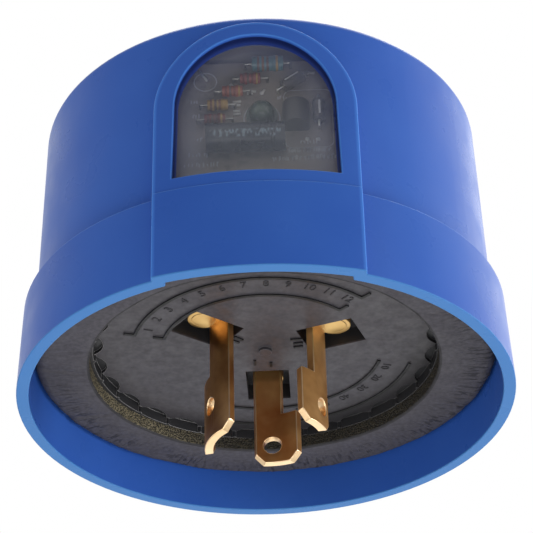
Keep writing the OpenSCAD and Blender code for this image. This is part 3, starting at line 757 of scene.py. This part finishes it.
def add_text(bm, words, size, height, place):
    """Raised figures, from the built-in font, centred on a place."""
    curve = bpy.data.curves.new("figures", "FONT")
    curve.body = words
    curve.size = size
    curve.align_x = "CENTER"
    curve.align_y = "CENTER"
    curve.extrude = height / 2
    curve.resolution_u = 3
    source = bpy.data.objects.new("figures", curve)
    shape = source.to_mesh()
    shape.transform(place @ Matrix.Translation((0, 0, height / 2)))
    bm.from_mesh(shape)
    source.to_mesh_clear()
    bpy.data.objects.remove(source)
    bpy.data.curves.remove(curve)


def add_stroke(bm, points, width, height, place, closed=False):
    """A flat raised line of a given width through points on a place's face."""
    flat = [Vector(p) for p in points]
    rows = []
    count = len(flat)
    for i, point in enumerate(flat):
        before = flat[i - 1] if i or closed else point
        after = flat[(i + 1) % count] if i < count - 1 or closed else point
        way = (after - before).normalized()
        side = Vector((-way.y, way.x)) * width / 2
        row = []
        for edge, level in ((-1, 0), (1, 0), (1, height), (-1, height)):
            corner = point + edge * side
            row.append(bm.verts.new(place @ Vector((corner.x, corner.y, level))))
        rows.append(row)
    for i in range(count if closed else count - 1):
        here = rows[i]
        there = rows[(i + 1) % count]
        for k in range(4):
            bm.faces.new((here[k], here[(k + 1) % 4], there[(k + 1) % 4], there[k]))
    if not closed:
        bm.faces.new(rows[0][::-1])
        bm.faces.new(rows[-1])


def circle(radius, steps=32, centre=(0, 0), start=0, turn=360):
    """Points round a circle, or along an arc of it that starts at an angle and turns by another."""
    points = []
    last = steps if turn == 360 else steps - 1
    for step in range(steps):
        angle = math.radians(start + turn * step / last)
        points.append((centre[0] + radius * math.cos(angle), centre[1] + radius * math.sin(angle)))
    return points


def rounded_rectangle(width, height, radius):
    """Points round a rectangle with round corners."""
    points = []
    for turn, (right, up) in enumerate(((1, 1), (-1, 1), (-1, -1), (1, -1))):
        centre = (right * (width / 2 - radius), up * (height / 2 - radius))
        points += circle(radius, 5, centre, 90 * turn, 90)
    return points


# Dials: directions of their numbers in degrees, and the numbers' distance from the axis, size and height
FRONT_NUMBERS = (201.6, 211.8, *range(222, 313, 10))
FRONT_NUMBER_R = 20.9 * MM
FRONT_NUMBER_SIZE = 2.3 * MM
REAR_NUMBERS = (18, 29, 40, 51.5, 63, 74.5)
REAR_NUMBER_R = 21.9 * MM
REAR_NUMBER_SIZE = 2.1 * MM
NUMBER_H = 0.1 * MM


def make_dial_numbers(material):
    """Plain numbers between the dials' raised lines."""
    bm = bmesh.new()
    for index, degrees in enumerate(FRONT_NUMBERS):
        add_text(bm, str(index + 1), FRONT_NUMBER_SIZE, NUMBER_H, on_disc(FRONT_NUMBER_R, degrees))
    for index, degrees in enumerate(REAR_NUMBERS):
        add_text(bm, str(10 * (index + 1)), REAR_NUMBER_SIZE, NUMBER_H, on_disc(REAR_NUMBER_R, degrees))
    bmesh.ops.remove_doubles(bm, verts=bm.verts, dist=WELD)
    bmesh.ops.recalc_face_normals(bm, faces=bm.faces)
    mesh = clean_mesh("dial_numbers", bm)
    mesh.set_sharp_from_angle(angle=math.radians(25))
    add_piece("dial_numbers", mesh, material)


# Ends of the strokes beside the right, the left and the back pocket, in mm, and the strokes' width and height
POCKET_STROKES = (
    ((4.4, -3.2), (6.5, -3.4)), ((4.9, -1.9), (6.5, -2.1)), ((4.9, -0.7), (6.5, -1.0)),
    ((-5.1, -4.8), (-3.7, -3.6)), ((-5.8, -3.9), (-4.4, -2.8)),
    ((-1.9, 3.2), (-1.9, 4.8)), ((0.9, 4.0), (0.9, 5.4)),
)
STROKE_W = 0.45 * MM
STROKE_H = 0.25 * MM


def make_pocket_marks(material):
    """Short raised strokes beside the blades' pockets."""
    bm = bmesh.new()
    face = Matrix.Translation((0, 0, DISC_Z)) @ Matrix.Rotation(math.pi, 4, "X")
    for ends in POCKET_STROKES:
        points = [(x * MM, -y * MM) for x, y in ends]
        add_stroke(bm, points, STROKE_W, STROKE_H, face)
    bmesh.ops.recalc_face_normals(bm, faces=bm.faces)
    add_piece("pocket_marks", clean_mesh("pocket_marks", bm), material).data.shade_flat()


# Print on the board: width and height of a line, then shapes with their X and height on the board in mm
PRINT_W = 0.2 * MM
PRINT_H = 0.05 * MM
# Circles, with their radius
PRINT_CIRCLES = ((-8.5, 38.3, 1.9), (0.9, 30.2, 3.0))
# A frame behind the transistor, with its width, height and corner radius, and the width of its line
PRINT_FRAME_AT = (8.65, 29.9)
PRINT_FRAME = (8 * MM, 12 * MM, 1.2 * MM)
PRINT_FRAME_W = 0.12 * MM
# Rows of small ticks that make no words, with the number and the height of the ticks
PRINT_ROWS = (
    (-11.2, 22.5, 6, 1.0), (-11.9, 20.5, 10, 1.0), (2.8, 21.2, 16, 1.2), (3.1, 21.3, 15, 1.1),
    (-10.9, 33.6, 3, 0.9), (-10.6, 30.6, 3, 0.9), (-9.8, 25.7, 2, 0.9), (3.6, 34.0, 4, 0.8),
    (7.2, 24.6, 6, 0.9), (5.2, 22.8, 12, 1.0), (5.5, 22.9, 11, 0.9),
)


def make_board_print(material):
    """Outlines and rows of ticks printed on the board's front, without words."""
    bm = bmesh.new()
    chance = random.Random(11)
    for x, z, radius in PRINT_CIRCLES:
        add_stroke(bm, circle(radius * MM), PRINT_W, PRINT_H, on_board(x, z), closed=True)
    outline = rounded_rectangle(*PRINT_FRAME)
    add_stroke(bm, outline, PRINT_FRAME_W, PRINT_H, on_board(*PRINT_FRAME_AT), closed=True)
    for x, z, count, height in PRINT_ROWS:
        for i in range(count):
            left = (0.6 * i + chance.uniform(-0.12, 0.12)) * height * MM
            base = chance.uniform(0, 0.3) * height * MM
            tall = chance.uniform(0.6, 1) * height * MM
            across = chance.uniform(-0.3, 0.4) * height * MM
            add_stroke(bm, ((left, base), (left, tall)), PRINT_W, PRINT_H, on_board(x, z))
            add_stroke(bm, ((left, tall), (left + across, tall)), PRINT_W, PRINT_H, on_board(x, z))
    bmesh.ops.recalc_face_normals(bm, faces=bm.faces)
    add_piece("board_print", clean_mesh("board_print", bm), material).data.shade_flat()


# Bright leads: X and height of the start, length in mm and slant in degrees, and the leads' width and height
BRIGHT_LEADS = (
    (-9.5, 40.6, 2.5, -59), (-3.9, 33.7, 1.4, 8), (-3.9, 33.0, 1.3, 4),
    (-3.9, 31.8, 1.2, 0), (-3.9, 31.1, 1.3, 5), (-1.7, 36.2, 1.8, -14),
    (-1.5, 35.5, 1.0, 0), (1.0, 35.4, 0.9, 60), (8.0, 39.6, 2.0, -6),
)
LEAD_W = 0.34 * MM
LEAD_H = 0.3 * MM
# Solder spots: X and height in mm, their radius, and their height as a share of it
SOLDER_SPOTS = ((1.0, 35.6), (8.3, 25.6), (10.1, 25.5), (11.6, 38.4), (-4.2, 37.4))
SPOT_R = 0.4 * MM
SPOT_RISE = 0.6


def make_solder(material):
    """Bright leads and solder spots on the board's front."""
    bm = bmesh.new()
    for x, z, length, slant in BRIGHT_LEADS:
        turn = math.radians(slant)
        tip = (length * math.cos(turn) * MM, length * math.sin(turn) * MM)
        add_stroke(bm, ((0, 0), tip), LEAD_W, LEAD_H, on_board(x, z))
    for x, z in SOLDER_SPOTS:
        place = on_board(x, z) @ Matrix.Diagonal((1, 1, SPOT_RISE, 1))
        bmesh.ops.create_uvsphere(bm, u_segments=16, v_segments=8, radius=SPOT_R, matrix=place)
    bmesh.ops.recalc_face_normals(bm, faces=bm.faces)
    add_piece("solder_spots", clean_mesh("solder_spots", bm), material)


# Resistors on the left: name of the material, colour of the body and of two of its bands
RESISTORS = {
    "sensor_resistor": ("resistor_red", srgb(140, 50, 42), srgb(102, 38, 32)),
    "bias_resistor": ("resistor_orange", srgb(160, 78, 42), srgb(124, 54, 34)),
    "gate_resistor": ("resistor_yellow", srgb(170, 134, 54), srgb(128, 84, 42)),
    "bleed_resistor": ("resistor_brown", srgb(124, 56, 42), srgb(90, 42, 34)),
}
RESISTOR_HALF = 1.72 * MM
SNUBBER_HALF = 2.62 * MM
GOLD_BAND = srgb(168, 132, 52)
DARK_BAND = srgb(84, 58, 46)
BROWN_BAND = srgb(120, 80, 40)


def make_looks():
    """A material for every CAD node, also for those that a finer piece stands for."""
    looks = {
        "cover": blue_plastic(),
        "window": clear_plastic(),
        "base": black_moulding(),
        "gasket": foam(),
        # The blades share one brass; their tones and metal differ only as painted light, each lighter or
        # darker for how it is lit.
        "neutral_blade": brass("neutral_brass", srgb(178, 120, 70)),
        "line_blade": brass("line_brass", srgb(192, 120, 66), 0.9),
        "load_blade": brass("load_brass", srgb(176, 122, 66), 0.7),
        "blade_rivets": brass("rivet_brass", srgb(190, 140, 80)),
        "circuit_board": laminate(),
        "smoothing_capacitor": sleeve(),
        "rectifier_diodes": diode_black(),
        "photo_sensor": mottled("sensor_green", srgb(44, 60, 48), srgb(66, 82, 66), 700, (0.2, 0.3)),
        "switching_transistor": mottled("transistor_black", srgb(46, 45, 46), srgb(60, 58, 58), 900),
        "relay": mottled("relay_case", srgb(46, 46, 50), srgb(60, 60, 64), 200),
        "dropper_capacitor": mottled("capacitor_yellow", srgb(178, 138, 40), srgb(202, 160, 58), 300),
        "surge_varistor": mottled("varistor_blue", srgb(40, 62, 122), srgb(58, 84, 150), 500, (0.25, 0.35)),
        "line_wire": mottled("wire_black", srgb(26, 26, 28), srgb(42, 42, 44), 600),
        "load_wire": mottled("wire_red", srgb(150, 30, 28), srgb(178, 44, 38), 600),
        "neutral_wire": mottled("wire_white", srgb(206, 204, 198), srgb(224, 222, 216), 600),
    }
    for node, (name, body, band) in RESISTORS.items():
        bands = ((-0.62, 0.1, band), (-0.2, 0.1, DARK_BAND), (0.2, 0.1, band), (0.66, 0.08, GOLD_BAND))
        looks[node] = axial(name, node, RESISTOR_HALF, body, bands)
    teal = srgb(62, 118, 124)
    order = ((-0.6, DARK_BAND), (-0.3, BROWN_BAND), (0.0, DARK_BAND), (0.6, GOLD_BAND))
    bands = [(at, 0.07, band) for at, band in order]
    looks["snubber_resistor"] = axial("resistor_teal", "snubber_resistor", SNUBBER_HALF, teal, bands)
    return looks


def dress(piece, material):
    """Gives a CAD node one material, without touching its shape."""
    if not piece.material_slots:
        piece.data.materials.append(material)
    for slot in piece.material_slots:
        slot.link = "OBJECT"
        slot.material = material


def make_pieces(looks):
    """The finer pieces, which stand for some of the nodes or lie on them."""
    softened("cover", COVER_EDGE, looks["cover"])
    for blade in ("neutral_blade", "line_blade", "load_blade"):
        softened(blade, BLADE_EDGE, looks[blade])
    make_gasket(looks["gasket"])
    make_dial_numbers(looks["base"])
    make_pocket_marks(looks["base"])
    make_board_print(mottled("board_ink", srgb(178, 178, 176), srgb(210, 210, 208), 900, (0.5, 0.6)))
    # The tin is painted near-white and matte: pale as tin is, and brighter so that it stands for its shine as
    # a painted highlight.
    make_solder(mottled("solder_tin", srgb(206, 206, 202), srgb(236, 234, 230), 1200, (0.3, 0.4)))


looks = make_looks()
for name, node in nodes.items():
    dress(node, looks[name])
make_pieces(looks)
